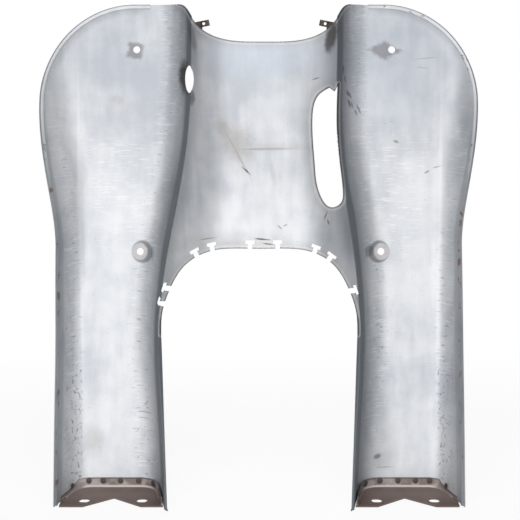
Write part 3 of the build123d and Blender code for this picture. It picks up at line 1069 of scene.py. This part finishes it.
class LEGSHIELD_OT_tabs(bpy.types.Operator):
    """Finishes the two top tabs"""

    bl_idname = "legshield.tabs"
    bl_label = "Top tabs"

    def execute(self, context):
        material = tab_paint(context.scene.legshield_colours)
        for name in ("top_tab_left", "top_tab_right"):
            paint_node(name, material)
        return {"FINISHED"}


class LEGSHIELD_OT_stage(bpy.types.Operator):
    """Sets the floor, the backdrop, the lights and the camera"""

    bl_idname = "legshield.stage"
    bl_label = "Stage"

    def execute(self, context):
        scene = context.scene
        scene.view_settings.view_transform = "Standard"
        white_stage()
        even_room(scene)
        studio_lights(scene)
        set_camera(scene)
        return {"FINISHED"}


def white_stage():
    """A pale floor under the feet that runs up behind into a backdrop."""
    gap, half, ahead, behind, height, bend = 0.0005, 3.0, 3.0, 1.6, 3.0, 0.6
    low = CAD_BOX[0][2] - gap
    front = np.array([(-ahead, low), (behind - bend, low)])
    angle = np.linspace(0, 0.5 * math.pi, 12)[1:]
    curve = np.stack([behind - bend + bend * np.sin(angle), low + bend - bend * np.cos(angle)], 1)
    side = np.concatenate([front, curve, [(behind, height)]])
    rows = np.stack([np.repeat([[-half], [half]], len(side), 1),
                     np.tile(side[:, 0], (2, 1)), np.tile(side[:, 1], (2, 1))], 2)
    count = len(side)
    faces = [(i, count + i, count + i + 1, i + 1) for i in range(count - 1)]
    floor = mesh_object("floor", rows.reshape(-1, 3), faces, pale_paint())


def pale_paint():
    """Pale matt floor that shows white behind the object and keeps its shadow near the feet."""
    p = Paint("pale_floor")
    path = p.node("ShaderNodeLightPath")
    away = p.y.between(150.0, 500.0)
    wide = p.x.size().between(750.0, 1000.0)
    mirrored_rays = path.value("Is Glossy Ray").most(path.value("Is Transmission Ray")) * (1 - wide)
    seen = path.value("Is Camera Ray").most(mirrored_rays)
    grey = p.mix(wide, (0.92, 0.92, 0.92), (0.12, 0.12, 0.13))
    matt = p.node("ShaderNodeBsdfDiffuse", {}, {"Color": grey})
    glow = p.node("ShaderNodeEmission", {}, {"Color": (1, 1, 1, 1), "Strength": 1.0})
    both = p.node("ShaderNodeMixShader", {}, {0: seen * (away * 0.1 + 0.9), 1: matt.link(), 2: glow.link()})
    p.node("ShaderNodeOutputMaterial", {}, {"Surface": both.link()})
    return p.material


def even_room(scene):
    """An even, dim and slightly blue room that the camera sees as white."""
    tint, strength = (0.95, 0.97, 1.0, 1), 0.18
    world = bpy.data.worlds.new("room")
    scene.world = world
    world.use_nodes = True
    tree = world.node_tree
    room = tree.nodes["Background"]
    room.inputs["Color"].default_value = tint
    room.inputs["Strength"].default_value = strength
    white = tree.nodes.new("ShaderNodeBackground")
    white.inputs["Color"].default_value = (1, 1, 1, 1)
    path = tree.nodes.new("ShaderNodeLightPath")
    seen = tree.nodes.new("ShaderNodeMixShader")
    tree.links.new(path.outputs["Is Camera Ray"], seen.inputs[0])
    tree.links.new(room.outputs[0], seen.inputs[1])
    tree.links.new(white.outputs[0], seen.inputs[2])
    tree.links.new(seen.outputs[0], tree.nodes["World Output"].inputs["Surface"])


def studio_lights(scene):
    """Soft boxes in front, above and behind: name, place, width and height in metres, power in watts."""
    boxes = (
        ("front_box", (0.0, -1.75, 0.35), (1.4, 1.1), 6.0),
        ("wide_box", (-0.35, -2.1, 0.8), (2.8, 2.6), 28.0),
        ("top_box", (0.0, -0.3, 2.4), (1.6, 1.0), 18.0),
        ("back_box", (0.0, 1.5, 1.4), (1.6, 1.0), 10.0),
    )
    target = np.array([0.0, 0.0, 0.27])
    for name, place, size, power in boxes:
        light = bpy.data.lights.new(name, "AREA")
        light.shape = "RECTANGLE"
        light.size, light.size_y = size
        light.energy = power
        lamp = bpy.data.objects.new(name, light)
        lamp.location = place
        lamp.rotation_euler = direction_euler(target - np.array(place))
        scene.collection.objects.link(lamp)


def direction_euler(direction):
    """Turn of a lamp or camera that looks along a direction with its top up."""
    return Vector(direction).to_track_quat("-Z", "Y").to_euler()


def set_camera(scene):
    """The photograph's view: level across and looking down a little."""
    camera = bpy.data.cameras.new("camera")
    camera.sensor_width = SENSOR_WIDTH
    camera.lens = LENS
    view = bpy.data.objects.new("camera", camera)
    down = math.radians(VIEW_DOWN)
    forward = np.array([0.0, math.cos(down), -math.sin(down)])
    view.location = VIEW_TARGET - VIEW_DISTANCE * forward
    view.rotation_euler = direction_euler(forward)
    scene.collection.objects.link(view)
    scene.camera = view


class LEGSHIELD_PT_sidebar(bpy.types.Panel):
    """Lists the steps and the settings"""

    bl_idname = "LEGSHIELD_PT_sidebar"
    bl_label = "Leg shield"
    bl_space_type = "VIEW_3D"
    bl_region_type = "UI"
    bl_category = "Leg shield"

    def draw(self, context):
        column = self.layout.column()
        for step in STEPS:
            column.operator(step.bl_idname)
        for group in (context.scene.legshield_sizes, context.scene.legshield_colours):
            for name in group.__annotations__:
                column.prop(group, name)


STEPS = (
    LEGSHIELD_OT_panel, LEGSHIELD_OT_hems, LEGSHIELD_OT_brackets, LEGSHIELD_OT_tabs, LEGSHIELD_OT_stage)
CLASSES = (LegShieldColours, LegShieldSizes, *STEPS, LEGSHIELD_PT_sidebar)


def register():
    for kind in CLASSES:
        bpy.utils.register_class(kind)
    bpy.types.Scene.legshield_colours = bpy.props.PointerProperty(type=LegShieldColours)
    bpy.types.Scene.legshield_sizes = bpy.props.PointerProperty(type=LegShieldSizes)


def unregister():
    del bpy.types.Scene.legshield_sizes
    del bpy.types.Scene.legshield_colours
    for kind in reversed(CLASSES):
        bpy.utils.unregister_class(kind)


def main():
    """Builds every piece and the stage."""
    register()
    bpy.ops.legshield.panel()
    bpy.ops.legshield.hems()
    bpy.ops.legshield.brackets()
    bpy.ops.legshield.tabs()
    bpy.ops.legshield.stage()


if __name__ == "__main__":
    main()
